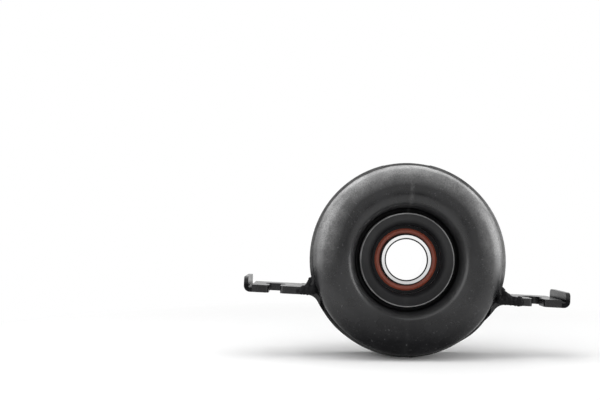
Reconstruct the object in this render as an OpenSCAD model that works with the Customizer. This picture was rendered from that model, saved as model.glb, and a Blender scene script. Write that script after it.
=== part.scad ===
// Driveshaft centre bearing: a sealed ball bearing in a folded rubber cushion, carried by two steel straps.
// The bore runs along Y through the origin, which is at the middle of the bearing. The front faces -Y,
// X runs across the two bolting ears and Z is up. All sizes are in millimetres.

/* [Bearing] */
// Diameter of the shaft bore
bore_d = 30; // [27:0.5:36]
// Wall of the inner ring at its shoulders
inner_wall = 3.6; // [3.2:0.1:5]
// Gap between the shoulders of the two rings
shoulder_gap = 4.5; // [4:0.1:5.2]
// Wall of the outer ring at its shoulders
outer_wall = 4.4; // [3.8:0.1:6]
// Width of the inner ring, which stands out past the outer ring
inner_ring_w = 24; // [18:0.5:32]
// Width of the outer ring
outer_ring_w = 16; // [15:0.5:20]
// Diameter of a ball
ball_d = 7.1; // [6.2:0.1:7.4]
// Number of balls
ball_count = 11; // [7:1:11]
// Size of the chamfers on the rings
ring_chamfer = 0.5; // [0.2:0.1:0.8]

/* [Cage and seals] */
// Sheet thickness of the ball cage
cage_t = 0.7; // [0.5:0.1:1]
// Radial width of the ball cage
cage_w = 2.6; // [2:0.1:3.4]
// Diameter of a cage rivet
rivet_d = 1; // [0.8:0.1:1.2]
// Height of a rivet head
rivet_head_h = 0.5; // [0.3:0.1:0.8]
// Thickness of a seal
seal_t = 1.5; // [1.3:0.1:1.8]
// How far a seal lies inside the outer ring's face
seal_recess = 0.7; // [0.4:0.1:0.9]
// Depth of the groove that holds a seal
seal_groove = 1; // [0.6:0.1:1.4]
// Width of the slopes at the two edges of a seal
seal_slope_w = 1.4; // [0.8:0.1:1.8]
// Drop of those slopes
seal_slope_h = 0.6; // [0.3:0.05:0.65]

/* [Hub] */
// Wall of the steel sleeve round the bearing
sleeve_t = 1.5; // [1:0.1:2.5]
// Thickness of the rubber round the sleeve
hub_wall = 5.4; // [3:0.2:8]
// How far the rubber lip covers the outer ring's face
lip_cover = 2.2; // [1.4:0.1:3]
// Rounding of the rubber lip towards the bearing
lip_round = 4; // [1:0.5:6]
// How far the rubber lip stands behind the straps' front edge
lip_setback = 0.5; // [0:0.1:2]
// How far the rubber hub runs on behind the sleeve
hub_tail = 3.5; // [1:0.5:8]

/* [Rubber fold] */
// Wall of the rubber fold
rubber_t = 6; // [4:0.2:8]
// Width of the groove between the hub and the fold
groove_w = 3.9; // [3:0.1:6]
// Depth of that groove behind the rubber lip
groove_depth = 10.5; // [5:0.5:13]
// Thickness of the web that joins the hub and the fold
web_t = 7; // [5:0.5:9]
// How far the fold's crest stands in front of the straps
fold_reach = 11.5; // [9:0.5:15]
// Rounding of the rubber edges
edge_r = 0.8; // [0.3:0.1:1.5]
// Fillet behind the web
web_fillet = 3; // [1:0.5:4]

/* [Steel ring] */
// Inside diameter of the straps
ring_d = 138; // [132:1:150]
// Wall of the steel shell that the rubber is bonded into
shell_t = 1.6; // [1:0.1:2.5]
// How far the shell stands in from the straps' rear edge
shell_setback = 1.5; // [0.5:0.5:5]
// Width of the straps along the shaft
strap_w = 36; // [30:1:46]
// Sheet thickness of the upper strap
upper_t = 2.3; // [1.6:0.1:3.2]
// Sheet thickness of the lower strap
lower_t = 3.2; // [2:0.1:4]
// Width of the notch in the upper strap's front edge
notch_w = 34; // [24:1:44]
// Depth of that notch
notch_depth = 10; // [6:1:14]
// Corner radius of that notch
notch_r = 4.5; // [1:0.5:5]
// How far that notch lies to the left of the middle
notch_shift = 3.3; // [0:0.1:6]
// Width of the stretch where the lower strap's front edge is cut back
waist_w = 124; // [100:1:126]
// Depth of that cut
waist_depth = 10; // [6:1:14]
// Length of the slope at both ends of that cut
waist_slope = 20; // [5:1:30]

/* [Ears] */
// Height of the shaft axis above the seats under the ears
ear_drop = 29; // [25:0.5:36]
// Overall width across the end flanges
bracket_w = 237; // [225:1:260]
// Height of an end flange
flange_h = 11; // [8:0.5:16]
// Inside bend radius of an end flange
flange_bend_r = 1.4; // [0.8:0.1:3]
// Gap between the upper ear and the end flange
ear_gap = 2.7; // [1.6:0.1:5]
// Radius of the bend from the ring into the upper ear
upper_bend_r = 6; // [4:0.5:10]
// Radius of the bend from the ring into the lower ear
lower_bend_r = 9; // [5:0.5:12]
// Distance between the two bolts
slot_spacing = 192; // [186:1:198]
// Length of a bolt hole across the ear
slot_l = 15; // [11:0.5:18]
// Width of a bolt hole along the shaft
slot_w = 10; // [8.4:0.2:10.8]
// Width of the mouth that opens a bolt hole to the front
mouth_w = 8.4; // [7:0.2:10]
// Distance of the bolts behind the straps' front edge
bolt_setback = 18; // [13:1:23]
// Rounding of the mouth's front corners
mouth_r = 3; // [0.5:0.5:4]

/* [Welds] */
// Radius of the lumps on a weld bead
bead_r = 3.6; // [2.5:0.1:4]
// How far the lumps' centres lie inside the strap's edge
bead_sink = 1; // [0.5:0.1:2]
// Depth of a weld into the root of an ear
weld_depth = 9; // [5:1:14]
// Distance between two lumps
bead_pitch = 3.4; // [2.5:0.1:4]
// Length of the left welds, from the ring out
left_weld_l = 8; // [4:0.5:18]
// Length of the right welds, from the ring out
right_weld_l = 14; // [4:0.5:18]

/* [Clearances] */
// Gap between a ball and its tracks
race_gap = 0.05; // [0.03:0.01:0.1]
// Gap between a ball and its cage
pocket_gap = 0.15; // [0.1:0.05:0.2]
// Gap between a rivet and its hole
rivet_gap = 0.05; // [0.03:0.01:0.1]
// Gap between a seal and the rings
seal_gap = 0.05; // [0.03:0.01:0.1]
// Gap between the fold's shoulder and the straps
rim_gap = 0.3; // [0.2:0.1:0.6]
// Gap between a weld and the curved sheet beside it
weld_gap = 0.05; // [0.03:0.01:0.1]

/* [Hidden] */
$fn = 96;
// how much wider a ball track's curve is than the ball
track_ratio = 1.04;
// how much wider a rivet's head is than its shank
rivet_head_ratio = 1.8;
// how far cuts run past the faces that they open
past = 1;
// how far a bend's curve runs into the sheet on both sides of it, so that they blend
blend = 0.002;
// how many degrees a strap's disc runs on into its bends
strap_lap = 3;

// bearing
bore_r = bore_d / 2;
inner_land_r = bore_r + inner_wall;
outer_land_r = inner_land_r + shoulder_gap;
bearing_r = outer_land_r + outer_wall;
ball_r = ball_d / 2;
pitch_r = (inner_land_r + outer_land_r) / 2;
track_r = ball_r * track_ratio;
inner_track_r = pitch_r - ball_r - race_gap + track_r;
outer_track_r = pitch_r + ball_r + race_gap - track_r;
pocket_r = ball_r + pocket_gap;
cage_in_r = pitch_r - cage_w / 2;
cage_out_r = pitch_r + cage_w / 2;
rivet_r = rivet_d / 2;
rivet_head_r = rivet_head_ratio * rivet_r;
ball_step = 360 / ball_count;
seal_out_z = outer_ring_w / 2 - seal_recess;
seal_in_z = seal_out_z - seal_t;
seal_ledge_z = (seal_in_z + seal_out_z) / 2;
seal_groove_r = outer_land_r + seal_groove;

// hub, along the shaft from the middle of the bearing with the front positive
strap_front = strap_w / 2;
sleeve_r = bearing_r + sleeve_t;
sleeve_half = outer_ring_w / 2 + sleeve_t;
hub_r = sleeve_r + hub_wall;
lip_r = bearing_r - lip_cover;
lip_front = strap_front - lip_setback;
hub_rear = sleeve_half + hub_tail;

// rubber fold
ring_r = ring_d / 2;
shell_r = ring_r - shell_t;
fold_in_r = hub_r + groove_w;
fold_out_r = ring_r - rim_gap;
fold_r = (fold_out_r - fold_in_r) / 2;
fold_mid_r = (fold_out_r + fold_in_r) / 2;
fold_z = strap_front + fold_reach - fold_r;
groove_r = groove_w / 2;
groove_z = lip_front - groove_depth + groove_r;
web_rear = lip_front - groove_depth - web_t;
shell_rear = strap_front - shell_setback;
cushion_rear = shell_rear - shell_t;

// ears: the upper one lies on the lower one, and each leaves the ring through a bend that touches both
seat_y = -ear_drop;
seam_y = seat_y + lower_t;
upper_top_y = seam_y + upper_t;
flange_x = bracket_w / 2;
// the outlines of the ears begin well inside the ring, which then cuts them
ear_start_x = ring_r / 2;
upper_ear_x = flange_x - lower_t - ear_gap;
upper_turn_y = upper_top_y + upper_bend_r;
upper_turn = [leaving_x(ring_r + upper_t + upper_bend_r, upper_turn_y), upper_turn_y];
upper_angle = atan2(-upper_turn.y, upper_turn.x);
lower_turn_y = seat_y - lower_bend_r;
lower_turn = [leaving_x(ring_r + lower_t + lower_bend_r, lower_turn_y), lower_turn_y];
lower_angle = atan2(-lower_turn.y, lower_turn.x);
bolt_x = slot_spacing / 2;
bolt_z = strap_front - bolt_setback;

// weld lumps run from the ring to the seam between the ears, and then along it
weld_angle = (upper_angle + lower_angle) / 2;
weld_root = (ring_r + bead_r) * [cos(weld_angle), -sin(weld_angle)];
weld_toe = [upper_turn.x, seam_y];
weld_turn_l = norm(weld_toe - weld_root);

// Name of a ball's node
function ball_name(i) = str("ball_", i < 10 ? "0" : "", i);

// How far out a bend's centre lies at a height, when it is this far from the shaft axis
function leaving_x(distance, height) = sqrt(distance * distance - height * height);

// Where a weld is, so far along it
function weld_point(along) = along < weld_turn_l
    ? weld_root + (weld_toe - weld_root) * along / weld_turn_l
    : weld_toe + [along - weld_turn_l, 0];

// Stands what is drawn with the shaft along Z up, so that its top faces the front
module facing_front() {
    rotate([90, 0, 0]) children();
}

// Repeats a piece on the other side of the shaft
module both_sides() {
    children();
    mirror([1, 0, 0]) children();
}

// Repeats a piece at the front and the rear
module both_ends() {
    children();
    mirror([0, 0, 1]) children();
}

// Places a piece on the ball circle, so many steps round it
module on_pitch(steps) {
    rotate(steps * ball_step) translate([pitch_r, 0, 0]) children();
}

// Half section of a ring between two radii and two places along the shaft
module section(in_r, out_r, low, high) {
    translate([in_r, low]) square([out_r - in_r, high - low]);
}

// The sliver between a corner and a round of radius r that lies towards the given signs: cut it off an
// outside corner or add it to an inside one
module corner_sliver(corner, r, sign_x, sign_y) {
    translate(corner) difference() {
        translate([min(sign_x, 0) * r, min(sign_y, 0) * r]) square(r);
        translate([sign_x * r, sign_y * r]) circle(r);
    }
}

// The triangle that chamfers a corner
module chamfer(corner, sign_x, sign_y) {
    translate(corner) polygon([[0, 0], [sign_x * ring_chamfer, 0], [0, sign_y * ring_chamfer]]);
}

// Gives an outline the straps' width along the shaft, or more at both ends
module strap_width(more = 0) {
    translate([0, 0, -strap_front - more]) linear_extrude(strap_w + 2 * more) children();
}

// Outline of a flat stretch of sheet between two corners
module sheet(low, high) {
    translate(low) square(high - low);
}

// Outline of the disc that a strap is bent round, over or under the ring as side is 1 or -1, and so many
// degrees down from the shaft axis on both sides
module strap_disc(sheet_t, side, angle) {
    edge = ring_d * [cos(angle), -sin(angle)];
    intersection() {
        circle(ring_r + sheet_t);
        polygon([[0, 0], edge, side * [ring_d, ring_d], side * [-ring_d, ring_d], [-edge.x, edge.y]]);
    }
}

// Outline of the sheet where it leaves the ring: the root between the shaft axis, the bend's centre and the
// seam, hollowed by the bend
module strap_root(turn, bend_r, back_y) {
    difference() {
        polygon([[0, 0], turn, [turn.x, seam_y], [ear_start_x, back_y]]);
        translate(turn) circle(bend_r + blend);
    }
}

// Outline of what lies behind the outside of a bend
module behind_bend(turn, outside_r, far_y) {
    difference() {
        polygon([[0, 0], turn, [turn.x, far_y], [0, far_y]]);
        translate(turn) circle(outside_r + blend);
    }
}

// Outline of a lower ear with its end turned up
module lower_ear() {
    difference() {
        union() {
            sheet([ear_start_x, seat_y], [flange_x, seam_y]);
            sheet([flange_x - lower_t, seat_y], [flange_x, seat_y + flange_h]);
            corner_sliver([flange_x - lower_t, seam_y], flange_bend_r, -1, 1);
        }
        corner_sliver([flange_x, seat_y], flange_bend_r + lower_t, -1, 1);
    }
}

// Stands a plan drawn in X and the shaft's direction up through a height
module plan_cut(low, high) {
    translate([0, high, 0]) rotate([90, 0, 0]) linear_extrude(high - low) children();
}

// Plan of a bolt hole, long across the ear, with a mouth that opens it to the front
module slot_plan() {
    slot_r = slot_w / 2;
    straight = slot_l - slot_w;
    translate([bolt_x - straight / 2, bolt_z]) circle(slot_r);
    translate([bolt_x + straight / 2, bolt_z]) circle(slot_r);
    translate([bolt_x - straight / 2, bolt_z - slot_r]) square([straight, slot_w]);
    translate([bolt_x - mouth_w / 2, bolt_z]) square([mouth_w, bolt_setback + past]);
    corner_sliver([bolt_x + mouth_w / 2, strap_front], mouth_r, 1, -1);
    corner_sliver([bolt_x - mouth_w / 2, strap_front], mouth_r, -1, -1);
}

// Plan of the notch at the top of the upper strap, with rounded corners at its bottom
module notch_plan() {
    notch_z = strap_front - notch_depth;
    translate([-notch_shift, 0]) difference() {
        translate([-notch_w / 2, notch_z]) square([notch_w, notch_depth + past]);
        corner_sliver([-notch_w / 2, notch_z], notch_r, 1, 1);
        corner_sliver([notch_w / 2, notch_z], notch_r, -1, 1);
    }
}

// Plan of the long cut in the lower strap's front edge, which slopes in from both ends
module waist_plan() {
    waist_z = strap_front - waist_depth;
    bottom_x = waist_w / 2 - waist_slope;
    // the slopes run on past the front edge
    past_x = waist_w / 2 + past * waist_slope / waist_depth;
    polygon([
        [-past_x, strap_front + past],
        [-bottom_x, waist_z],
        [bottom_x, waist_z],
        [past_x, strap_front + past],
    ]);
}

// Lower strap: under the ring and out into the two ears
module lower_strap() {
    color("#25272a") facing_front() difference() {
        union() {
            strap_width() strap_disc(lower_t, -1, lower_angle - strap_lap);
            both_sides() {
                strap_width() strap_root(lower_turn, lower_bend_r, 0);
                strap_width() lower_ear();
            }
        }
        strap_width(past) circle(ring_r);
        both_sides() {
            strap_width(past) behind_bend(lower_turn, lower_bend_r + lower_t, ring_r);
            plan_cut(seat_y - past, seam_y + past) slot_plan();
        }
        plan_cut(-ring_r - lower_t - past, 0) waist_plan();
    }
}

// Upper strap: over the ring and out onto the lower ears
module upper_strap() {
    color("#2a2c2f") facing_front() difference() {
        union() {
            strap_width() strap_disc(upper_t, 1, upper_angle + strap_lap);
            both_sides() {
                strap_width() strap_root(upper_turn, upper_bend_r, seam_y);
                strap_width() sheet([ear_start_x, seam_y], [upper_ear_x, upper_top_y]);
            }
        }
        strap_width(past) circle(ring_r);
        both_sides() {
            strap_width(past) behind_bend(upper_turn, upper_bend_r + upper_t, -ring_r);
            plan_cut(seam_y - past, upper_top_y + past) slot_plan();
        }
        plan_cut(0, ring_r + upper_t + past) notch_plan();
    }
}

// Section of a weld, which fills the root between the ring and the two bends
module weld_section() {
    difference() {
        polygon([
            ring_r * [cos(upper_angle), -sin(upper_angle)],
            [upper_turn.x, seam_y],
            [lower_turn.x, seam_y],
            ring_r * [cos(lower_angle), -sin(lower_angle)],
        ]);
        circle(ring_r + weld_gap);
        translate(upper_turn) circle(upper_bend_r + upper_t + weld_gap);
        translate(lower_turn) circle(lower_bend_r + lower_t + weld_gap);
    }
}

// Lumps of a weld, which stand on the straps' edge
module weld_lumps(length) {
    intersection() {
        translate([0, seat_y - ring_r, strap_front]) cube([bracket_w, ring_d, strap_w]);
        for (along = [0 : bead_pitch : length]) {
            lump = weld_point(along);
            translate([lump.x, lump.y, strap_front - bead_sink]) sphere(bead_r);
        }
    }
}

// A weld of one length in the root of an ear
module weld(length) {
    translate([0, 0, strap_front - weld_depth]) linear_extrude(weld_depth) weld_section();
    weld_lumps(length);
}

// Weld beads in the roots of both ears, front and rear
module weld_beads() {
    color("#1b1c1e") facing_front() both_ends() {
        weld(right_weld_l);
        mirror([1, 0, 0]) weld(left_weld_l);
    }
}

// Steel shell that the rubber is bonded into
module outer_shell() {
    color("#3a3c3f") facing_front() rotate_extrude() section(shell_r, ring_r, -shell_rear, fold_z);
}

// Half section of the rubber: hub, groove, web, fold and the wall along the shell
module cushion_section() {
    difference() {
        union() {
            section(sleeve_r, hub_r, -hub_rear, lip_front);
            section(lip_r, hub_r, sleeve_half, lip_front);
            section(hub_r, fold_in_r, web_rear, groove_z);
            section(fold_in_r, fold_in_r + rubber_t, web_rear, fold_z);
            section(fold_out_r - rubber_t, shell_r, -cushion_rear, fold_z);
            corner_sliver([hub_r, web_rear], web_fillet, 1, -1);
            fold_crown();
        }
        translate([hub_r + groove_r, groove_z]) circle(groove_r);
        corner_sliver([hub_r, lip_front], edge_r, -1, -1);
        corner_sliver([lip_r, lip_front], lip_round, 1, -1);
        corner_sliver([hub_r, -hub_rear], edge_r, -1, 1);
        corner_sliver([fold_in_r + rubber_t, web_rear], web_fillet, -1, 1);
        corner_sliver([fold_out_r - rubber_t, -cushion_rear], edge_r, 1, 1);
    }
}

// Half section of the fold's crown
module fold_crown() {
    translate([fold_mid_r, fold_z]) intersection() {
        difference() {
            circle(fold_r);
            circle(fold_r - rubber_t);
        }
        translate([-fold_r, 0]) square([2 * fold_r, fold_r]);
    }
}

// Moulded rubber cushion
module rubber_cushion() {
    color("#2b2b2d") facing_front() rotate_extrude() cushion_section();
}

// Steel sleeve round the bearing, turned in at the front and rolled over at the rear
module bearing_sleeve() {
    color("#6e7072") facing_front() rotate_extrude() difference() {
        union() {
            section(bearing_r, sleeve_r, -sleeve_half, sleeve_half);
            section(lip_r, sleeve_r, outer_ring_w / 2, sleeve_half);
            section(lip_r, sleeve_r, -sleeve_half, -outer_ring_w / 2);
        }
        corner_sliver([sleeve_r, -sleeve_half], sleeve_t, -1, 1);
    }
}

// Outer ring with its ball track and the grooves that hold the seals
module bearing_outer_ring() {
    half_w = outer_ring_w / 2;
    color("#9a9b9c") facing_front() rotate_extrude() difference() {
        section(outer_land_r, bearing_r, -half_w, half_w);
        translate([outer_track_r, 0]) circle(track_r);
        for (side = [-1, 1]) {
            chamfer([bearing_r, side * half_w], -1, -side);
        }
        section(outer_land_r - past, seal_groove_r, seal_in_z, seal_ledge_z);
        section(outer_land_r - past, seal_groove_r, -seal_ledge_z, -seal_in_z);
    }
}

// Inner ring with its ball track and the shaft bore
module bearing_inner_ring() {
    half_w = inner_ring_w / 2;
    color("#c9cacb") facing_front() rotate_extrude() difference() {
        section(bore_r, inner_land_r, -half_w, half_w);
        translate([inner_track_r, 0]) circle(track_r);
        for (side = [-1, 1]) {
            chamfer([bore_r, side * half_w], 1, -side);
            chamfer([inner_land_r, side * half_w], -1, -side);
        }
    }
}

// A seal, held in the outer ring's groove, with a face that slopes down to both rings
module seal() {
    seal_lip_r = inner_land_r + seal_gap;
    bead_edge_r = seal_groove_r - seal_gap;
    face_r = outer_land_r - seal_gap;
    rotate_extrude() polygon([
        [seal_lip_r, seal_in_z + seal_gap],
        [bead_edge_r, seal_in_z + seal_gap],
        [bead_edge_r, seal_ledge_z - seal_gap],
        [face_r, seal_ledge_z - seal_gap],
        [face_r, seal_out_z - seal_slope_h],
        [face_r - seal_slope_w, seal_out_z],
        [seal_lip_r + seal_slope_w, seal_out_z],
        [seal_lip_r, seal_out_z - seal_slope_h],
    ]);
}

module front_seal() {
    color("#8a4a3c") facing_front() seal();
}

module rear_seal() {
    color("#8a4a3c") facing_front() mirror([0, 0, 1]) seal();
}

// An arch over a ball, which runs out along the radius
module pocket_arch(r) {
    rotate([0, 90, 0]) cylinder(r = r, h = 2 * cage_w, center = true);
}

// Half of the pressed ball cage: a flat ribbon that arches over each ball, with a rivet hole between arches
module cage_half() {
    difference() {
        intersection() {
            rotate_extrude() section(cage_in_r, cage_out_r, 0, pocket_r + 2 * cage_t);
            union() {
                cylinder(r = cage_out_r + past, h = cage_t);
                for (i = [1 : ball_count]) {
                    on_pitch(i) pocket_arch(pocket_r + cage_t);
                }
            }
        }
        for (i = [1 : ball_count]) {
            on_pitch(i) pocket_arch(pocket_r);
            on_pitch(i + 0.5) cylinder(r = rivet_r + rivet_gap, h = 4 * cage_t, center = true);
        }
    }
}

module front_cage() {
    color("#8c8d8f") facing_front() cage_half();
}

module rear_cage() {
    color("#8c8d8f") facing_front() mirror([0, 0, 1]) cage_half();
}

// Rivets that hold the two halves of the cage together
module cage_rivets() {
    color("#a5a6a7") facing_front() for (i = [1 : ball_count]) {
        on_pitch(i + 0.5) {
            cylinder(r = rivet_r, h = 2 * cage_t, center = true);
            both_ends() translate([0, 0, cage_t]) cylinder(r = rivet_head_r, h = rivet_head_h);
        }
    }
}

// One ball, counted round the cage
module ball(i) {
    color("#d5d6d8") facing_front() on_pitch(i) sphere(ball_r);
}

lower_strap();
upper_strap();
weld_beads();
outer_shell();
rubber_cushion();
bearing_sleeve();
bearing_outer_ring();
bearing_inner_ring();
front_seal();
rear_seal();
front_cage();
rear_cage();
cage_rivets();
for (i = [1 : ball_count]) {
    ball(i);
}
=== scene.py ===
"""Looks of a driveshaft centre bearing: black rubber and painted straps round a sealed steel bearing."""

import math

import bmesh
import bpy
from mathutils import Matrix, Vector, noise

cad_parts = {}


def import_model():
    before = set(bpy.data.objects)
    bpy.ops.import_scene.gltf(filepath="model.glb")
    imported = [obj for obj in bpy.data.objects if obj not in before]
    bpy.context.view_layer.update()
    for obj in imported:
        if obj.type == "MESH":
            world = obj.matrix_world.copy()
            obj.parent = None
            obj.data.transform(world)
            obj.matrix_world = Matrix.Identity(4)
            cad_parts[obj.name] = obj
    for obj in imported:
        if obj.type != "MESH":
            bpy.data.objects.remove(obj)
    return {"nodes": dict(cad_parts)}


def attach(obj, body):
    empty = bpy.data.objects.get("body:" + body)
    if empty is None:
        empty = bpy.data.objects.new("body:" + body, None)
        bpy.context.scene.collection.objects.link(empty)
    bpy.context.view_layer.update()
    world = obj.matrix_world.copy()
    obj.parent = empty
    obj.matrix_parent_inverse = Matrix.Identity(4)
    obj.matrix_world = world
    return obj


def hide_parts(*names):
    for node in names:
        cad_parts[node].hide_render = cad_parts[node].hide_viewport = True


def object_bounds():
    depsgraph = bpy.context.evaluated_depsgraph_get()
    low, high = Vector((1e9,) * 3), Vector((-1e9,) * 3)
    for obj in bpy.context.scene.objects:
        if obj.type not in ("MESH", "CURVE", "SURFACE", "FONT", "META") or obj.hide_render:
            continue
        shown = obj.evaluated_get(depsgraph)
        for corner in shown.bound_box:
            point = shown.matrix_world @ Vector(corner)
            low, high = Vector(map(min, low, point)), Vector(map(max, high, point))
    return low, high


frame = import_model()
cad_low, cad_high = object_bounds()

MM = 0.001

# Sizes of the part in millimetres, as in its source. Depths run along the shaft with the front positive.
BORE_R = 15.0
SEAL_IN_R = 18.6
LIP_R = 25.3
LIP_ROUND = 4.0
LIP_FRONT = 17.5
SLEEVE_R = 29.0
SLEEVE_HALF = 9.5
HUB_R = 34.4
HUB_REAR = 13.0
GROOVE_W = 3.9
GROOVE_Z = 8.95
FOLD_IN_R = 38.3
FOLD_OUT_R = 68.7
FOLD_Z = 14.25
RUBBER_T = 6.0
SHELL_R = 67.4
CUSHION_REAR = 14.9
EDGE_R = 0.8
WEB_FILLET = 3.0
STRAP_FRONT = 18.0
STRAP_OUT_R = 71.3
LOWER_OUT_R = 72.2
FLANGE_X = 115.3
FLANGE_TOP = -18.0

# The rubber's fold: how square its inner half is, where 1 is round, and the rim that laps the strap's edge
SQUARENESS = 0.66
RIM_R = 69.3
RIM_Z = 18.25
FLANK_STEPS = 36

# Steps of the rubber round the shaft in degrees, finer at the mould's two seams
RING_STEP = 1.25
RING_COUNT = 288
SEAM_ANGLES = (90, 270)
SEAM_STEP = 0.3
SEAM_STEPS = 8

# The mould seam: its width and height, the depth where it starts, and where it fades out below the crest
SEAM_W = 2.4
SEAM_H = 0.07
SEAM_START = 5.0
SEAM_END = 29.0
SEAM_FADE = 3.0

# Rounds of the straps' edges and of the flanges' upper corners, and how the corners are found
SHEET_EDGE = 0.6
FLANGE_CORNER = 3.0
LEAST_SHEET = 2.0
NEAR = 0.5

# The notch in the upper strap: its middle, half width, deepest place, and how much of its depth shows
NOTCH_X = -3.3
NOTCH_HALF = 17.2
NOTCH_REAR = 5.0
NOTCH_SHARE = 0.35

# The lower strap's waist: where its front edge leaves the ears, the slope's run, its depth and its top
WAIST_X = 64.0
WAIST_SLOPE = 5.0
WAIST_DEPTH = 5.5
WAIST_TOP = -32.5

# A run of weld lumps over an ear's root: its first lump, its drop, its depth, and how its lumps grow
RUN_LUMPS = 8
RUN_X = 70.0
RUN_TOP = -17.5
RUN_DROP = 9.0
RUN_FRONT = 16.6
RUN_FIRST_R = 1.6
RUN_GROWTH = 0.5

# The welds' roughness: the mesh's step, the size of the noise, its shape, and its height on either side
WELD_STEP = 0.5
LUMP_SIZE = 2.0
LUMP_NOISE = (0.7, 2.1, 4)
LEFT_LUMP_H = 0.4
RIGHT_LUMP_H = 0.75

# Just over the ears' top, and how far out the left ear's rear weld runs out flat at that height
EAR_TOP = -23.4
LEFT_WELD_END = 73.5

# Vertices nearer to each other than this, in metres, are one
MERGE = 1e-6

# Bands of the looks, each from one radius, height or place across to another, in millimetres
SPECK_BAND = (FOLD_IN_R + 6, FOLD_IN_R + 12)
# Dust on the upper flank, which also paints the highlight of the light from above
DUST_AND_HIGHLIGHT_BAND = (FOLD_OUT_R - 14.5, FOLD_OUT_R - 3)
DUST_AND_HIGHLIGHT_HEIGHT = (-15, 20)
DUST_AND_HIGHLIGHT_SIDE_HEIGHT = (15, 40)
DUST_AND_HIGHLIGHT_SIDE_SHIFT = 3.5
# A painted highlight along the rubber's upper rim
RIM_HIGHLIGHT_BAND = (RIM_R - 3.2, RIM_R - 1.2)
RIM_HIGHLIGHT_HEIGHT = (26, 44)
SEAM_ASIDE = (0.3, SEAM_W)
SEAM_HEIGHT = (HUB_R, HUB_R + 0.2)
# The hub's edge carries a painted highlight
HUB_EDGE_START = (HUB_R - 1.0, HUB_R - 0.4)
HUB_EDGE_END = (HUB_R + 0.02, HUB_R + 0.1)
MATT_BAND = (FOLD_IN_R, FOLD_IN_R + 5)
LIP_BAND = (LIP_R + 1.4, LIP_R + LIP_ROUND + 0.6)
BOTTOM_HEIGHT = (-58, -32)
HUB_END = (HUB_R, HUB_R + 0.3)
HUB_HEIGHT = (-25, 10)
WALL_BAND = (FOLD_IN_R, FOLD_IN_R + 4)
GRAIN_BAND = (FOLD_IN_R + 2, FOLD_IN_R + 9)
# Paint rubbed thin on the ring's front edge, with a painted highlight that is lighter on the right, towards
# the right lamp
EDGE_WEAR_AND_HIGHLIGHT_END = (STRAP_OUT_R, STRAP_OUT_R + 0.6)
EDGE_WEAR_AND_HIGHLIGHT_HEIGHT = (-14, -6)
EDGE_HIGHLIGHT_RIGHT = (45, 60)
# Painted shade in the corners at the flanges, made by lowering their reflection
CORNER_ASIDE = (FLANGE_X - 3.0, FLANGE_X - 2.6)
CORNER_HEIGHT = (-23.5, -21.5)
CHAMFER_START = (BORE_R + 0.02, BORE_R + 0.08)
CHAMFER_END = (BORE_R + 0.85, BORE_R + 1.1)
# A painted shadow along the seal's inner edge, in the gap by the inner ring
GAP_SHADE_BAND = (SEAL_IN_R + 0.5, SEAL_IN_R + 1.4)

# Colours. Those in pairs vary between a darker and a lighter one.
RUBBER_COLOURS = ((0.005, 0.005, 0.0055), (0.013, 0.013, 0.014))
PAINT_COLOURS = ((0.004, 0.004, 0.0045), (0.011, 0.011, 0.012))
SEAL_COLOURS = ((0.24, 0.052, 0.028), (0.34, 0.078, 0.044))
SPECK_COLOUR = (0.06, 0.06, 0.062)
# Dust, lightened to paint the highlight of the light from above
DUST_AND_HIGHLIGHT_COLOUR = (0.26, 0.26, 0.26)
# A painted highlight on the upper rim
RIM_HIGHLIGHT_COLOUR = (0.55, 0.55, 0.55)
SEAM_COLOUR = (0.1, 0.1, 0.1)
# A painted highlight on the hub's edge
HUB_EDGE_HIGHLIGHT_COLOUR = (0.5, 0.5, 0.5)
# Paint rubbed thin, and a painted highlight
EDGE_WEAR_AND_HIGHLIGHT_COLOUR = (0.22, 0.22, 0.22)
# A dark colour laid on the chamfer round the bore
CHAMFER_DARK_COLOUR = (0.03, 0.03, 0.03)
# A painted shadow on the seal's inner edge
GAP_SHADE_COLOUR = (0.012, 0.005, 0.004)
FLOOR_COLOUR = (0.92, 0.92, 0.92, 1.0)

# Reflection: at the shader's middle level, and in the places that shine less
SHINE = 0.5
# Less reflection low on the hub, in the groove, in the lip and at the bottom of the rubber paints shade
# there
HUB_LOW_SHINE = 0.24
GROOVE_SHINE = 0.2
LIP_SHINE = 0.03
BOTTOM_SHINE = 0.03
# Painted shade in the flanges' corners
CORNER_SHINE = 0.02
FLOOR_SHINE = 0.2

# Roughness. That in pairs varies with a noise over the span that holds most of its values.
RUBBER_ROUGH = (0.2, 0.34)
MATT_ROUGH = 0.6
SEAL_ROUGH = (0.38, 0.5)
FLOOR_ROUGH = 0.8
NOISE_SPAN = (0.3, 0.7)

# The camera in metres and degrees, and its focal length and picture width in pixels
CAMERA_PLACE = (-0.0651, -0.5355, 0.0181)
CAMERA_TURN = 1.69
CAMERA_TILT = 2.42
CAMERA_ROLL = 2.81
FOCAL_PX = 705
PICTURE_PX = 600
SENSOR_MM = 36.0

# The table in metres: its front edge, out of view, its far edge, its sides, and where it fades into white
FLOOR_FRONT = -0.42
FLOOR_BACK = 3
FLOOR_SIDE = 2
FLOOR_FADE = (0.16, 0.42)

# The room's brightness by direction: from below to above, from the front to behind, and on the far left
ROOM_RISE = (-0.16, 0.0)
ROOM_BELOW = 0.15
ROOM_ABOVE = 0.95
ROOM_BEHIND = (0.2, 0.7)
ROOM_LEFT = (-0.95, -0.55)
ROOM_LEFT_SHARE = 0.6
ROOM_LIGHT = (-0.3, 0.1)
ROOM_LIGHT_SHARE = 0.2


# Shader nodes

def new_material(name):
    """A new material with its node tree and shader."""
    material = bpy.data.materials.new(name)
    material.use_nodes = True
    tree = material.node_tree
    shader = tree.nodes["Principled BSDF"]
    return material, tree, shader


def operator(tree, kind, operation):
    """A node that does one operation."""
    node = tree.nodes.new(kind)
    node.operation = operation
    return node


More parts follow.
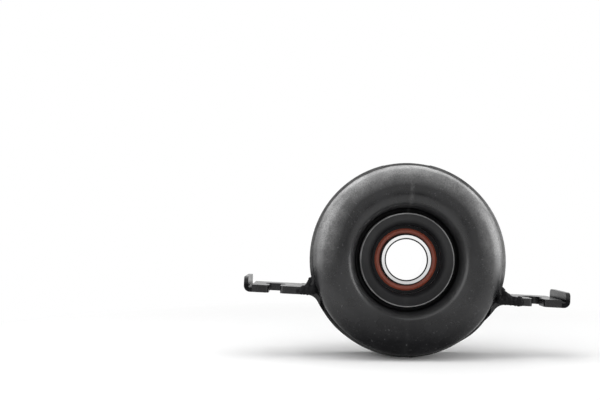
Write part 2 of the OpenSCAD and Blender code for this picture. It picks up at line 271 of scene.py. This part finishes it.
def both(tree, operation, one, other):
    """Two values taken together."""
    node = operator(tree, "ShaderNodeMath", operation)
    tree.links.new(one, node.inputs[0])
    tree.links.new(other, node.inputs[1])
    return node.outputs["Value"]


def times(tree, product, *factors):
    """Values multiplied together."""
    for factor in factors:
        product = both(tree, "MULTIPLY", product, factor)
    return product


def spread(tree, value, low, high, to_low=0.0, to_high=1.0):
    """Maps a range of a value onto another, clamped."""
    node = tree.nodes.new("ShaderNodeMapRange")
    node.inputs["From Min"].default_value = low
    node.inputs["From Max"].default_value = high
    node.inputs["To Min"].default_value = to_low
    node.inputs["To Max"].default_value = to_high
    tree.links.new(value, node.inputs["Value"])
    return node.outputs["Result"]


def zone(tree, length, band, to_low=0.0, to_high=1.0):
    """Maps a length in metres over a band in millimetres, clamped."""
    low, high = band
    return spread(tree, length, low * MM, high * MM, to_low, to_high)


def grain(tree, vector, scale, detail=3.0, roughness=0.5):
    """Noise at a number of grains to the metre."""
    node = tree.nodes.new("ShaderNodeTexNoise")
    node.inputs["Scale"].default_value = scale
    node.inputs["Detail"].default_value = detail
    node.inputs["Roughness"].default_value = roughness
    tree.links.new(vector, node.inputs["Vector"])
    return node.outputs["Fac"]


def two_tone(tree, factor, colours, light_from=0.75):
    """A colour that goes from the first of a pair to the second as a noise rises."""
    node = tree.nodes.new("ShaderNodeValToRGB")
    for point, place, colour in zip(node.color_ramp.elements, (0.3, light_from), colours):
        point.position = place
        point.color = (*colour, 1.0)
    tree.links.new(factor, node.inputs["Fac"])
    return node.outputs["Color"]


def mixed(tree, factor, colour, other):
    """One colour with another laid over it by a factor."""
    node = tree.nodes.new("ShaderNodeMix")
    node.data_type = "RGBA"
    tree.links.new(factor, node.inputs[0])
    tree.links.new(colour, node.inputs[6])
    node.inputs[7].default_value = (*other, 1.0)
    return node.outputs[2]


def bump(tree, shader, height, distance, strength):
    """Bumps a shader by a noise whose height is in millimetres."""
    node = tree.nodes.new("ShaderNodeBump")
    node.inputs["Strength"].default_value = strength
    node.inputs["Distance"].default_value = distance * MM
    tree.links.new(height, node.inputs["Height"])
    tree.links.new(node.outputs["Normal"], shader.inputs["Normal"])


def place_of(tree):
    """Where a point lies in the part's frame, in metres."""
    return tree.nodes.new("ShaderNodeTexCoord").outputs["Object"]


def axes_of(tree, vector):
    """A vector's parts along X, Y and Z."""
    parts = tree.nodes.new("ShaderNodeSeparateXYZ")
    tree.links.new(vector, parts.inputs[0])
    return parts.outputs["X"], parts.outputs["Y"], parts.outputs["Z"]


def aside_of(tree, across):
    """How far a place lies to either side of the middle."""
    node = operator(tree, "ShaderNodeMath", "ABSOLUTE")
    tree.links.new(across, node.inputs[0])
    return node.outputs["Value"]


def from_shaft(tree, place):
    """How far a point lies from the shaft's axis, in metres."""
    flat = operator(tree, "ShaderNodeVectorMath", "MULTIPLY")
    tree.links.new(place, flat.inputs[0])
    flat.inputs[1].default_value = (1, 0, 1)
    far = operator(tree, "ShaderNodeVectorMath", "LENGTH")
    tree.links.new(flat.outputs["Vector"], far.inputs[0])
    return far.outputs["Value"]


# Materials

def rubber_dust_and_highlights(tree, place, far, height, colour):
    """Specks on the fold; dust on its upper flank with a painted top highlight; a painted highlight on the
    upper rim.
    """
    specks = spread(tree, grain(tree, place, 700, 2.0, 0.5), 0.66, 0.74)
    colour = mixed(tree, times(tree, specks, zone(tree, far, SPECK_BAND)), colour, SPECK_COLOUR)
    patches = spread(tree, grain(tree, place, 75, 4.0, 0.6), 0.38, 0.62, 0.55, 1.0)
    scuffs = spread(tree, grain(tree, place, 1100, 5.0, 0.7), 0.35, 0.65, 0.35, 1.0)
    scuffs = times(tree, scuffs, patches)
    # The dust lies only on the upper flank, where it also paints the highlight of the light from above
    shifted = both(tree, "ADD", far, zone(tree, height, DUST_AND_HIGHLIGHT_SIDE_HEIGHT, DUST_AND_HIGHLIGHT_SIDE_SHIFT * MM, 0.0))
    flank = times(tree, zone(tree, shifted, DUST_AND_HIGHLIGHT_BAND), zone(tree, height, DUST_AND_HIGHLIGHT_HEIGHT))
    colour = mixed(tree, times(tree, flank, scuffs), colour, DUST_AND_HIGHLIGHT_COLOUR)
    # A painted highlight along the upper rim
    rim = times(tree, zone(tree, far, RIM_HIGHLIGHT_BAND), zone(tree, height, RIM_HIGHLIGHT_HEIGHT))
    return mixed(tree, times(tree, rim, scuffs), colour, RIM_HIGHLIGHT_COLOUR)


def rubber_marks(tree, place, far, height, blotch, colour):
    """The broken line of the mould seam, and a painted highlight along the hub's edge."""
    across, _, _ = axes_of(tree, place)
    seam = times(
        tree,
        zone(tree, aside_of(tree, across), SEAM_ASIDE, 0.5, 0.0),
        zone(tree, height, SEAM_HEIGHT, 0.15, 1.0),
        spread(tree, grain(tree, place, 130, 4.0, 0.7), 0.42, 0.68),
    )
    colour = mixed(tree, seam, colour, SEAM_COLOUR)
    # A painted highlight along the hub's edge
    hub_highlight = times(
        tree,
        zone(tree, far, HUB_EDGE_START),
        zone(tree, far, HUB_EDGE_END, 1.0, 0.0),
        spread(tree, blotch, 0.35, 0.65, 0.35, 1.0),
    )
    return mixed(tree, hub_highlight, colour, HUB_EDGE_HIGHLIGHT_COLOUR)


def rubber_shine(tree, far, height):
    """How much the rubber reflects: little in the lip, in the groove, low on the hub and at the bottom,
    which paints shade there.
    """
    lip = zone(tree, far, LIP_BAND, LIP_SHINE, SHINE)
    bottom = zone(tree, height, BOTTOM_HEIGHT, BOTTOM_SHINE, SHINE)
    hub = zone(tree, height, HUB_HEIGHT, HUB_LOW_SHINE, SHINE)
    hub = times(tree, hub, zone(tree, far, HUB_END, 1.0, 0.0))
    wall = zone(tree, far, WALL_BAND, GROOVE_SHINE, SHINE)
    return both(tree, "MINIMUM", both(tree, "MINIMUM", lip, bottom), both(tree, "MAXIMUM", hub, wall))


def black_rubber():
    """Smooth moulded rubber: dust and painted highlights up top and on the hub's edge, painted shade low
    down, matt in hub and groove.
    """
    material, tree, shader = new_material("black_rubber")
    place = place_of(tree)
    far = from_shaft(tree, place)
    _, _, height = axes_of(tree, place)
    blotch = grain(tree, place, 60, 5.0, 0.6)
    colour = two_tone(tree, blotch, RUBBER_COLOURS)
    colour = rubber_dust_and_highlights(tree, place, far, height, colour)
    colour = rubber_marks(tree, place, far, height, blotch, colour)
    tree.links.new(colour, shader.inputs["Base Color"])
    matt = zone(tree, far, MATT_BAND, MATT_ROUGH, RUBBER_ROUGH[0])
    rough = both(tree, "MAXIMUM", spread(tree, blotch, *NOISE_SPAN, *RUBBER_ROUGH), matt)
    tree.links.new(rough, shader.inputs["Roughness"])
    tree.links.new(rubber_shine(tree, far, height), shader.inputs["Specular IOR Level"])
    fine = grain(tree, place, 900, 3.0, 0.6)
    bump(tree, shader, times(tree, fine, zone(tree, far, GRAIN_BAND)), 0.05, 0.35)
    return material


def edge_wear_and_highlight(tree, place, blotch):
    """Paint rubbed thin with a painted highlight on the ring's front edge above the ears, lighter on the
    right, towards the right lamp.
    """
    across, _, height = axes_of(tree, place)
    _, facing, _ = axes_of(tree, tree.nodes.new("ShaderNodeNewGeometry").outputs["Normal"])
    return times(
        tree,
        spread(tree, facing, -0.95, -0.6, 1.0, 0.0),
        zone(tree, from_shaft(tree, place), EDGE_WEAR_AND_HIGHLIGHT_END, 1.0, 0.0),
        zone(tree, height, EDGE_WEAR_AND_HIGHLIGHT_HEIGHT),
        spread(tree, blotch, 0.3, 0.6, 0.5, 1.0),
        zone(tree, across, EDGE_HIGHLIGHT_RIGHT, 0.4, 1.0),
    )


def corner_painted_shade(tree, place):
    """The corner between the ear's sheets and the upturned flange, where less reflection paints shade."""
    across, _, height = axes_of(tree, place)
    aside = aside_of(tree, across)
    return times(tree, zone(tree, aside, CORNER_ASIDE), zone(tree, height, CORNER_HEIGHT, 1.0, 0.0))


def black_paint(name, rough, shine=SHINE, strap=False):
    """Black paint that varies a little over the sheet. A strap's is rubbed thin with a painted highlight on
    its front edge, and has painted shade in the corners by its flanges.
    """
    material, tree, shader = new_material(name)
    place = place_of(tree)
    blotch = grain(tree, place, 120, 4.0, 0.6)
    colour = two_tone(tree, blotch, PAINT_COLOURS)
    shader.inputs["Specular IOR Level"].default_value = shine
    if strap:
        # Paint rubbed thin with a painted highlight on the front edge, and painted shade in the flanges'
        # corners
        colour = mixed(tree, edge_wear_and_highlight(tree, place, blotch), colour, EDGE_WEAR_AND_HIGHLIGHT_COLOUR)
        dulled = spread(tree, corner_painted_shade(tree, place), 0, 1, shine, CORNER_SHINE)
        tree.links.new(dulled, shader.inputs["Specular IOR Level"])
    tree.links.new(colour, shader.inputs["Base Color"])
    tree.links.new(spread(tree, blotch, *NOISE_SPAN, *rough), shader.inputs["Roughness"])
    bump(tree, shader, grain(tree, place, 700, 2.0, 0.5), 0.06, 0.5)
    return material


def steel(name, bright, rough, stain=0.85, dark_chamfer=False):
    """Ground steel; on request the chamfer round the bore is darkened."""
    material, tree, shader = new_material(name)
    place = place_of(tree)
    blotch = grain(tree, place, 150, 4.0, 0.6)
    stained = tuple(stain * level for level in bright)
    colour = two_tone(tree, blotch, (stained, bright), 0.7)
    if dark_chamfer:
        far = from_shaft(tree, place)
        # The chamfer round the bore is darkened
        chamfer = times(tree, zone(tree, far, CHAMFER_START), zone(tree, far, CHAMFER_END, 1.0, 0.0))
        colour = mixed(tree, chamfer, colour, CHAMFER_DARK_COLOUR)
    tree.links.new(colour, shader.inputs["Base Color"])
    shader.inputs["Metallic"].default_value = 1.0
    tree.links.new(spread(tree, blotch, *NOISE_SPAN, *rough), shader.inputs["Roughness"])
    bump(tree, shader, grain(tree, place, 1800, 2.0), 0.01, 0.15)
    return material


def brown_seal():
    """Red-brown rubber, with a painted shadow along its inner edge, in the gap by the inner ring."""
    material, tree, shader = new_material("brown_seal")
    place = place_of(tree)
    blotch = grain(tree, place, 160, 4.0, 0.6)
    colour = two_tone(tree, blotch, SEAL_COLOURS)
    # A painted shadow along the inner edge, in the gap by the inner ring
    gap_shade = zone(tree, from_shaft(tree, place), GAP_SHADE_BAND, 1.0, 0.0)
    colour = mixed(tree, gap_shade, colour, GAP_SHADE_COLOUR)
    tree.links.new(colour, shader.inputs["Base Color"])
    tree.links.new(spread(tree, blotch, *NOISE_SPAN, *SEAL_ROUGH), shader.inputs["Roughness"])
    bump(tree, shader, grain(tree, place, 1600), 0.04, 0.4)
    return material


RUBBER = black_rubber()
PAINT = black_paint("black_strap", rough=(0.2, 0.32), shine=0.42, strap=True)
WELD = black_paint("black_weld", rough=(0.5, 0.7), shine=0.1)
SHELL = black_paint("shell_steel", rough=(0.4, 0.55))
SEAL = brown_seal()
INNER_STEEL = steel("inner_ring_steel", (0.98, 0.98, 0.98), rough=(0.06, 0.1), stain=0.96, dark_chamfer=True)
# Near-black steel: painted shade on the outer ring's face, deep in the recess inside the rubber lip
SHADED_OUTER_STEEL = steel("outer_ring_steel", (0.022, 0.022, 0.023), rough=(0.35, 0.5))
SLEEVE_STEEL = steel("sleeve_steel", (0.4, 0.4, 0.41), rough=(0.35, 0.5))
CAGE_STEEL = steel("cage_steel", (0.6, 0.6, 0.6), rough=(0.3, 0.42))
BALL_STEEL = steel("ball_steel", (0.85, 0.85, 0.87), rough=(0.05, 0.1))


# Pieces

def dress(obj, material):
    """Gives an object one material."""
    obj.data.materials.clear()
    obj.data.materials.append(material)


def mesh_object(name, bm, sharp_deg=35):
    """An object of a finished mesh, smooth except along its sharp edges."""
    mesh = bpy.data.meshes.new(name)
    bmesh.ops.recalc_face_normals(bm, faces=bm.faces)
    bm.to_mesh(mesh)
    bm.free()
    mesh.polygons.foreach_set("use_smooth", [True] * len(mesh.polygons))
    mesh.set_sharp_from_angle(angle=math.radians(sharp_deg))
    obj = bpy.data.objects.new(name, mesh)
    bpy.context.scene.collection.objects.link(obj)
    return obj


def stand_for(obj, node, body, material):
    """Shows a piece in place of a solid."""
    dress(obj, material)
    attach(obj, body)
    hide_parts(node)


def mesh_of(node):
    """A mesh to edit, copied from a solid."""
    bm = bmesh.new()
    bm.from_mesh(frame["nodes"][node].data)
    bmesh.ops.remove_doubles(bm, verts=bm.verts, dist=MERGE)
    return bm


def arc(centre, r, start, end, count):
    """Points of an arc between two angles in degrees."""
    angles = [math.radians(start + (end - start) * i / count) for i in range(count + 1)]
    return [(centre[0] + r * math.cos(a), centre[1] + r * math.sin(a)) for a in angles]


def inner_flank(fold_mid, fold_r):
    """The fold's inner half, from the groove up to its crest, squarer than a quarter of a circle."""
    turns = [math.pi / 2 * i / FLANK_STEPS for i in range(FLANK_STEPS)]
    steps = [(math.cos(t) ** SQUARENESS, math.sin(t) ** SQUARENESS) for t in turns]
    return [(fold_mid - fold_r * inward, FOLD_Z + fold_r * forward) for inward, forward in steps]


def outer_flank(fold_mid, fold_r):
    """The fold's outer half, an ellipse from its crest to the rim that just laps the strap's front edge."""
    rise = math.asin((RIM_Z - FOLD_Z) / fold_r)
    half_w = (RIM_R - fold_mid) / math.cos(rise)
    turns = [math.pi / 2 + (rise - math.pi / 2) * i / FLANK_STEPS for i in range(FLANK_STEPS + 1)]
    return [(fold_mid + half_w * math.cos(t), FOLD_Z + fold_r * math.sin(t)) for t in turns]


def cushion_profile():
    """Outline of the rubber's section in (radius, depth), from the lip round the front to the rear."""
    fold_mid = (FOLD_IN_R + FOLD_OUT_R) / 2
    fold_r = (FOLD_OUT_R - FOLD_IN_R) / 2
    groove_mid = HUB_R + GROOVE_W / 2
    inner_wall = FOLD_IN_R + RUBBER_T
    outer_wall = FOLD_OUT_R - RUBBER_T
    points = [(LIP_R, SLEEVE_HALF)]
    points += arc((LIP_R + LIP_ROUND, LIP_FRONT - LIP_ROUND), LIP_ROUND, 180, 90, 16)
    points += arc((HUB_R - EDGE_R, LIP_FRONT - EDGE_R), EDGE_R, 90, 0, 6)
    points += arc((groove_mid, GROOVE_Z), GROOVE_W / 2, 180, 360, 12)
    points += inner_flank(fold_mid, fold_r)
    points += outer_flank(fold_mid, fold_r)
    points += [(FOLD_OUT_R, RIM_Z), (FOLD_OUT_R, FOLD_Z), (SHELL_R, FOLD_Z), (SHELL_R, -CUSHION_REAR)]
    points += arc((outer_wall + EDGE_R, -CUSHION_REAR + EDGE_R), EDGE_R, 270, 180, 6)
    points += arc((fold_mid, FOLD_Z), fold_r - RUBBER_T, 0, 180, 40)
    points += arc((inner_wall - WEB_FILLET, WEB_FILLET), WEB_FILLET, 0, -90, 8)
    points += arc((HUB_R + WEB_FILLET, -WEB_FILLET), WEB_FILLET, 90, 180, 8)
    points += arc((HUB_R - EDGE_R, -HUB_REAR + EDGE_R), EDGE_R, 0, -90, 6)
    points += [(SLEEVE_R, -HUB_REAR), (SLEEVE_R, SLEEVE_HALF)]
    return points


def seam_lift(r, depth, angle):
    """How much the mould seam raises a point of the rubber's front, in millimetres."""
    if depth <= SEAM_START or r <= HUB_R:
        return 0.0
    off_deg = min(abs(math.remainder(angle - seam, 360)) for seam in SEAM_ANGLES)
    across = off_deg * math.pi / 180 * r
    lift = SEAM_H * max(0.0, 1 - (2 * across / SEAM_W) ** 2)
    return lift * min(1.0, max(0.0, (SEAM_END - depth) / SEAM_FADE))


def cushion_angles():
    """Angles round the shaft in degrees, closer together at the two mould seams."""
    angles = {i * RING_STEP for i in range(RING_COUNT)}
    for seam in SEAM_ANGLES:
        angles |= {seam + k * SEAM_STEP for k in range(-SEAM_STEPS, SEAM_STEPS + 1)}
    return sorted(angles)


def cushion_point(r, depth, angle):
    """A point of the rubber in the part's frame, in metres."""
    turn = math.radians(angle)
    raised = depth + seam_lift(r, depth, angle)
    return Vector((r * math.cos(turn), -raised, r * math.sin(turn))) * MM


def rubber_cushion():
    """The moulded cushion: its section turned about the shaft, with the faint seam of its two-part mould."""
    profile = cushion_profile()
    bm = bmesh.new()
    rings = []
    for angle in cushion_angles():
        rings.append([bm.verts.new(cushion_point(r, depth, angle)) for r, depth in profile])
    for ring, after in zip(rings, rings[1:] + rings[:1]):
        for i in range(len(profile)):
            j = (i + 1) % len(profile)
            bm.faces.new((ring[i], ring[j], after[j], after[i]))
    obj = mesh_object("cushion", bm)
    stand_for(obj, "rubber_cushion", "housing", RUBBER)


def flange_corners(bm):
    """Edges across the sheet at the upper corners of the flanges, where the strap has them."""
    found = []
    for edge in bm.edges:
        ends = [v.co / MM for v in edge.verts]
        across = abs(ends[0].x - ends[1].x) > LEAST_SHEET
        outside = all(abs(p.x) > FLANGE_X - NEAR and abs(p.y) > STRAP_FRONT - NEAR for p in ends)
        top = all(abs(p.z - FLANGE_TOP) < NEAR for p in ends)
        if across and outside and top:
            found.append(edge)
    return found


def rounded_copy(node, name, shape):
    """A copy of a strap, shaped, with its flanges' corners rounded and its sharp edges a little."""
    bm = mesh_of(node)
    bmesh.ops.dissolve_limit(bm, angle_limit=math.radians(0.5), verts=bm.verts, edges=bm.edges)
    shape(bm)
    corners = flange_corners(bm)
    if corners:
        bmesh.ops.bevel(bm, geom=corners, offset=FLANGE_CORNER * MM, segments=6, profile=0.5, affect="EDGES")
    obj = mesh_object(name, bm, sharp_deg=30)
    rounding = obj.modifiers.new("edges", "BEVEL")
    rounding.width = SHEET_EDGE * MM
    rounding.segments = 3
    rounding.limit_method = "ANGLE"
    rounding.angle_limit = math.radians(40)
    rounding.harden_normals = True
    return obj


def shallow_notch(bm):
    """Brings the floor of the upper strap's notch forward, as the photograph shows it."""
    for v in bm.verts:
        x, y, z = v.co / MM
        if abs(x - NOTCH_X) < NOTCH_HALF and z > 0 and -STRAP_FRONT < y < -NOTCH_REAR:
            v.co.y = (-STRAP_FRONT + NOTCH_SHARE * (y + STRAP_FRONT)) * MM


def wide_waist(bm):
    """Carries the lower strap's waist up to the ears, where no strap shows past the rubber."""
    for x in (-WAIST_X, WAIST_SLOPE - WAIST_X, WAIST_X - WAIST_SLOPE, WAIST_X):
        everything = bm.verts[:] + bm.edges[:] + bm.faces[:]
        bmesh.ops.bisect_plane(bm, geom=everything, dist=MERGE, plane_co=(x * MM, 0, 0), plane_no=(1, 0, 0))
    for v in bm.verts:
        x, y, z = v.co / MM
        back = WAIST_DEPTH * max(0.0, min(1.0, (WAIST_X - abs(x)) / WAIST_SLOPE))
        if y < 0 and z < WAIST_TOP:
            v.co.y = max(y, back - STRAP_FRONT) * MM


def straps():
    """The two pressed straps, with the waist and the notch as the photograph shows them."""
    lower = rounded_copy("lower_strap", "lower_sheet", wide_waist)
    upper = rounded_copy("upper_strap", "upper_sheet", shallow_notch)
    stand_for(lower, "lower_strap", "housing", PAINT)
    stand_for(upper, "upper_strap", "housing", PAINT)


def front_run(bm, side, reach, thick):
    """A run of weld lumps over the front of one ear's root, from the ring out along the ear."""
    for i in range(RUN_LUMPS):
        turn = math.pi / 2 * i / (RUN_LUMPS - 1)
        x = RUN_X + reach * (1 - math.cos(turn))
        z = RUN_TOP - RUN_DROP * math.sin(turn)
        spot = Matrix.Translation(Vector((side * x, -RUN_FRONT, z)) * MM)
        lump_r = min(thick, RUN_FIRST_R + RUN_GROWTH * i)
        bmesh.ops.create_icosphere(bm, subdivisions=2, radius=lump_r * MM, matrix=spot)


def weld_lumps():
    """Rough weld lumps over the roots of the ears."""
    bm = mesh_of("weld_beads")
    front_run(bm, side=-1, reach=9.0, thick=2.2)
    front_run(bm, side=1, reach=13.0, thick=3.0)
    obj = mesh_object("welds", bm, sharp_deg=180)
    remesh = obj.modifiers.new("voxels", "REMESH")
    remesh.mode = "VOXEL"
    remesh.voxel_size = WELD_STEP * MM
    done = bpy.data.meshes.new_from_object(obj.evaluated_get(bpy.context.evaluated_depsgraph_get()))
    obj.modifiers.clear()
    obj.data = done
    for v in done.vertices:
        lift = noise.fractal(v.co / (LUMP_SIZE * MM), *LUMP_NOISE)
        v.co += v.normal * lift * (RIGHT_LUMP_H if v.co.x > 0 else LEFT_LUMP_H) * MM
        v.co.y = min(v.co.y, cad_high[1])
        if v.co.x < -LEFT_WELD_END * MM and v.co.y > 0:
            v.co.z = min(v.co.z, EAR_TOP * MM)
    done.polygons.foreach_set("use_smooth", [True] * len(done.polygons))
    stand_for(obj, "weld_beads", "housing", WELD)


def cad_nodes():
    """Materials of the solids that are shown as they are. Pieces made here stand for the others."""
    shown = {
        "outer_shell": SHELL,
        "bearing_sleeve": SLEEVE_STEEL,
        "bearing_outer_ring": SHADED_OUTER_STEEL,
        "bearing_inner_ring": INNER_STEEL,
        "front_seal": SEAL,
        "rear_seal": SEAL,
        "front_cage": CAGE_STEEL,
        "rear_cage": CAGE_STEEL,
        "cage_rivets": CAGE_STEEL,
    }
    for name, obj in frame["nodes"].items():
        dress(obj, BALL_STEEL if name.startswith("ball_") else shown.get(name, PAINT))


# Stage

def camera():
    """The photograph's view: from the front, a little left and above, with the part rolled clockwise."""
    lens = bpy.data.cameras.new("camera")
    lens.sensor_width = SENSOR_MM
    lens.lens = FOCAL_PX / PICTURE_PX * SENSOR_MM
    lens.clip_start = 0.01
    obj = bpy.data.objects.new("camera", lens)
    bpy.context.scene.collection.objects.link(obj)
    turn = Matrix.Rotation(math.radians(CAMERA_TURN), 4, "Z")
    tilt = Matrix.Rotation(math.radians(90 + CAMERA_TILT), 4, "X")
    roll = Matrix.Rotation(math.radians(CAMERA_ROLL), 4, "Z")
    obj.matrix_world = Matrix.Translation(CAMERA_PLACE) @ turn @ tilt @ roll
    bpy.context.scene.camera = obj


def seen_rays(tree):
    """One for a ray that shows the background to the camera, straight or in gloss or glass, else zero."""
    path = tree.nodes.new("ShaderNodeLightPath").outputs
    seen = both(tree, "MAXIMUM", path["Is Glossy Ray"], path["Is Transmission Ray"])
    return both(tree, "MAXIMUM", path["Is Camera Ray"], seen)


def pale_floor():
    """A pale surface that fades into white away from the part."""
    material, tree, shader = new_material("pale_floor")
    shader.inputs["Base Color"].default_value = FLOOR_COLOUR
    shader.inputs["Roughness"].default_value = FLOOR_ROUGH
    shader.inputs["Specular IOR Level"].default_value = FLOOR_SHINE
    far = operator(tree, "ShaderNodeVectorMath", "LENGTH")
    tree.links.new(place_of(tree), far.inputs[0])
    fade = spread(tree, far.outputs["Value"], *FLOOR_FADE)
    white = tree.nodes.new("ShaderNodeEmission")
    mix = tree.nodes.new("ShaderNodeMixShader")
    tree.links.new(times(tree, fade, seen_rays(tree)), mix.inputs["Fac"])
    tree.links.new(shader.outputs["BSDF"], mix.inputs[1])
    tree.links.new(white.outputs["Emission"], mix.inputs[2])
    tree.links.new(mix.outputs["Shader"], tree.nodes["Material Output"].inputs["Surface"])
    return material


def floor():
    """The table under the ring, level in the photograph."""
    bm = bmesh.new()
    front = [(-FLOOR_SIDE, FLOOR_FRONT), (FLOOR_SIDE, FLOOR_FRONT)]
    back = [(FLOOR_SIDE, FLOOR_BACK), (-FLOOR_SIDE, FLOOR_BACK)]
    bm.faces.new([bm.verts.new((x, y, 0)) for x, y in front + back])
    obj = mesh_object("floor", bm)
    level = Matrix.Rotation(math.radians(-CAMERA_ROLL), 4, "Y")
    obj.matrix_world = level @ Matrix.Translation((0, 0, -LOWER_OUT_R * MM))
    dress(obj, pale_floor())


def world():
    """A room that is white behind the part and above it, and dimmer to the left and below the table."""
    room = bpy.data.worlds.new("room")
    room.use_nodes = True
    tree = room.node_tree
    light = tree.nodes["Background"]
    across, back, up = axes_of(tree, tree.nodes.new("ShaderNodeTexCoord").outputs["Generated"])
    above = spread(tree, up, *ROOM_RISE, ROOM_BELOW, ROOM_ABOVE)
    behind = spread(tree, back, *ROOM_BEHIND)
    left = spread(tree, across, *ROOM_LEFT, ROOM_LEFT_SHARE, 1.0)
    lit = times(tree, both(tree, "MAXIMUM", above, behind), left)
    share = both(tree, "MAXIMUM", seen_rays(tree), spread(tree, back, *ROOM_LIGHT, 1.0, ROOM_LIGHT_SHARE))
    tree.links.new(times(tree, lit, share), light.inputs["Strength"])
    light.inputs["Color"].default_value = (1, 1, 1, 1)
    bpy.context.scene.world = room


def softbox(name, place, size, watts):
    """A soft lamp that faces the middle of the part."""
    lamp = bpy.data.lights.new(name, "AREA")
    lamp.shape = "RECTANGLE"
    lamp.size, lamp.size_y = size
    lamp.energy = watts
    obj = bpy.data.objects.new(name, lamp)
    bpy.context.scene.collection.objects.link(obj)
    obj.location = place
    obj.rotation_euler = (-Vector(place)).to_track_quat("-Z", "Y").to_euler()


def lights():
    """Lamps above the part and to either side of it, in metres and watts."""
    softbox("top_light", place=(-0.1, -0.02, 0.6), size=(0.6, 0.6), watts=2.0)
    softbox("left_light", place=(-0.57, -0.15, 0.18), size=(0.45, 0.65), watts=2.4)
    softbox("right_light", place=(0.63, -0.06, 0.12), size=(0.5, 0.5), watts=3.0)


cad_nodes()
rubber_cushion()
straps()
weld_lumps()
camera()
floor()
world()
lights()
bpy.context.scene.view_settings.view_transform = "Standard"
